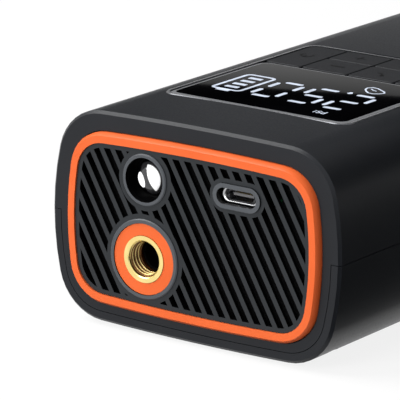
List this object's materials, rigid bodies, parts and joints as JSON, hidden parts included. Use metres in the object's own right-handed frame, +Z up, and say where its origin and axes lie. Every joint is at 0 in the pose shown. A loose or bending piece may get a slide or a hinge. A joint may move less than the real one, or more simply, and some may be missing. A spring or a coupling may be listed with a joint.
{
  "type": "jump starter pack",
  "caption": "Handheld jump starter pack with tyre inflator: slotted grille front with torch, threaded air outlet and USB-C, top display with keys, covered ports behind.",
  "frame": {"origin": "centre of the footprint, on the plane the rubber feet stand on", "axes": "+X right, +Y from the grille face back to the port cover, +Z up"},
  "size_m": [0.0934, 0.2, 0.0602],
  "materials": {
    "shell_plastic": "fine moulded grain",
    "grille_plastic": "satin moulding",
    "orange_plastic": "satin",
    "black_plastic": "satin",
    "key_plastic": "fine grain",
    "panel_glass": "polished, smoked",
    "clear_lens": "polished",
    "reflector_metal": "polished",
    "lamp_chip": "polished",
    "trim_metal": "satin plated",
    "brass": "turned",
    "port_steel": "drawn sheet",
    "screw_steel": "blackened",
    "bearing_steel": "ground",
    "motor_steel": "zinc plated",
    "pump_alloy": "die cast",
    "circuit_board": "solder resist",
    "display_block": "diffusing",
    "switch_grey": "moulded",
    "cover_rubber": "soft touch",
    "foot_rubber": "matte",
    "hose_rubber": "smooth",
    "socket_plastic": "moulded",
    "copper": "tinned edges",
    "cell_foil": "laminated foil",
    "can_black": "sleeved",
    "gear_nylon": "moulded"
  },
  "bodies": {
    "case": {"upper_shell": "shell_plastic", "lower_shell": "shell_plastic", "case_screws": "screw_steel", "rubber_feet": "foot_rubber", "accent_ring": "orange_plastic", "grille_plate": "grille_plastic", "outlet_disc": "orange_plastic", "outlet_insert": "brass", "outlet_seal": "hose_rubber", "outlet_nut": "brass", "torch_barrel": "black_plastic", "torch_lens": "clear_lens", "torch_reflector": "reflector_metal", "torch_led": "lamp_chip", "torch_board": "circuit_board", "usb_c_shell": "port_steel", "usb_c_tongue": "black_plastic", "usb_board": "circuit_board", "panel_trim": "trim_metal", "display_glass": "panel_glass", "segment_display": "display_block", "panel_board": "circuit_board", "key_switches": "switch_grey", "rear_panel": "shell_plastic", "cover_pin": "bearing_steel", "jump_socket": "socket_plastic", "jump_contacts": "brass", "usb_a_shell": "port_steel", "usb_a_tongue": "black_plastic", "rear_board": "circuit_board", "bus_bars": "copper", "battery_cradle": "black_plastic", "battery_cells": "cell_foil", "main_board": "circuit_board", "power_relay": "black_plastic", "capacitors": "can_black", "pump_frame": "pump_alloy", "pump_pads": "foot_rubber", "motor_can": "motor_steel", "motor_endcap": "black_plastic", "crank_bearing": "bearing_steel", "pump_cylinder": "pump_alloy", "cylinder_head": "pump_alloy", "head_bolts": "screw_steel", "air_hose": "hose_rubber"},
    "key_power_cap": {"key_power": "key_plastic"},
    "key_minus_cap": {"key_minus": "key_plastic"},
    "key_mode_cap": {"key_mode": "key_plastic"},
    "key_plus_cap": {"key_plus": "key_plastic"},
    "key_light_cap": {"key_light": "key_plastic"},
    "key_start_cap": {"key_start": "key_plastic"},
    "cover": {"port_cover": "cover_rubber"},
    "pinion": {"drive_pinion": "bearing_steel"},
    "crank": {"crank_gear": "gear_nylon"},
    "rod": {"con_rod": "pump_alloy", "wrist_pin": "bearing_steel"},
    "plunger": {"piston": "pump_alloy", "piston_seal": "foot_rubber"}
  },
  "joints": [
    {"name": "key_power_press", "type": "slide", "parent": "case", "child": "key_power_cap", "axis": [0, 0, -1], "range_m": [0, 0.0006], "stiffness_N_per_m": 600, "springref_m": -0.0002},
    {"name": "key_minus_press", "type": "slide", "parent": "case", "child": "key_minus_cap", "axis": [0, 0, -1], "range_m": [0, 0.0006], "stiffness_N_per_m": 600, "springref_m": -0.0002},
    {"name": "key_mode_press", "type": "slide", "parent": "case", "child": "key_mode_cap", "axis": [0, 0, -1], "range_m": [0, 0.0006], "stiffness_N_per_m": 600, "springref_m": -0.0002},
    {"name": "key_plus_press", "type": "slide", "parent": "case", "child": "key_plus_cap", "axis": [0, 0, -1], "range_m": [0, 0.0006], "stiffness_N_per_m": 600, "springref_m": -0.0002},
    {"name": "key_light_press", "type": "slide", "parent": "case", "child": "key_light_cap", "axis": [0, 0, -1], "range_m": [0, 0.0006], "stiffness_N_per_m": 600, "springref_m": -0.0002},
    {"name": "key_start_press", "type": "slide", "parent": "case", "child": "key_start_cap", "axis": [0, 0, -1], "range_m": [0, 0.0006], "stiffness_N_per_m": 600, "springref_m": -0.0002},
    {"name": "cover_hinge", "type": "hinge", "parent": "case", "child": "cover", "pos_m": [0, 0.0979, 0.0421], "axis": [1, 0, 0], "range_deg": [0, 110]},
    {"name": "crank_spin", "type": "hinge", "parent": "case", "child": "crank", "pos_m": [0.007, -0.042, 0.02153], "axis": [0, 1, 0], "continuous": true},
    {"name": "pinion_spin", "type": "hinge", "parent": "case", "child": "pinion", "pos_m": [0.02718, -0.042, 0.02153], "axis": [0, 1, 0], "continuous": true},
    {"name": "rod_pivot", "type": "hinge", "parent": "crank", "child": "rod", "pos_m": [0.004, -0.0535, 0.02153], "axis": [0, 1, 0], "continuous": true},
    {"name": "piston_stroke", "type": "slide", "parent": "case", "child": "plunger", "axis": [1, 0, 0], "range_m": [0, 0.006]}
  ],
  "couplings": [
    {"joint": "pinion_spin", "follows": "crank_spin", "ratio": -4},
    {"joint": "rod_pivot", "follows": "crank_spin", "ratio": -1}
  ]
}
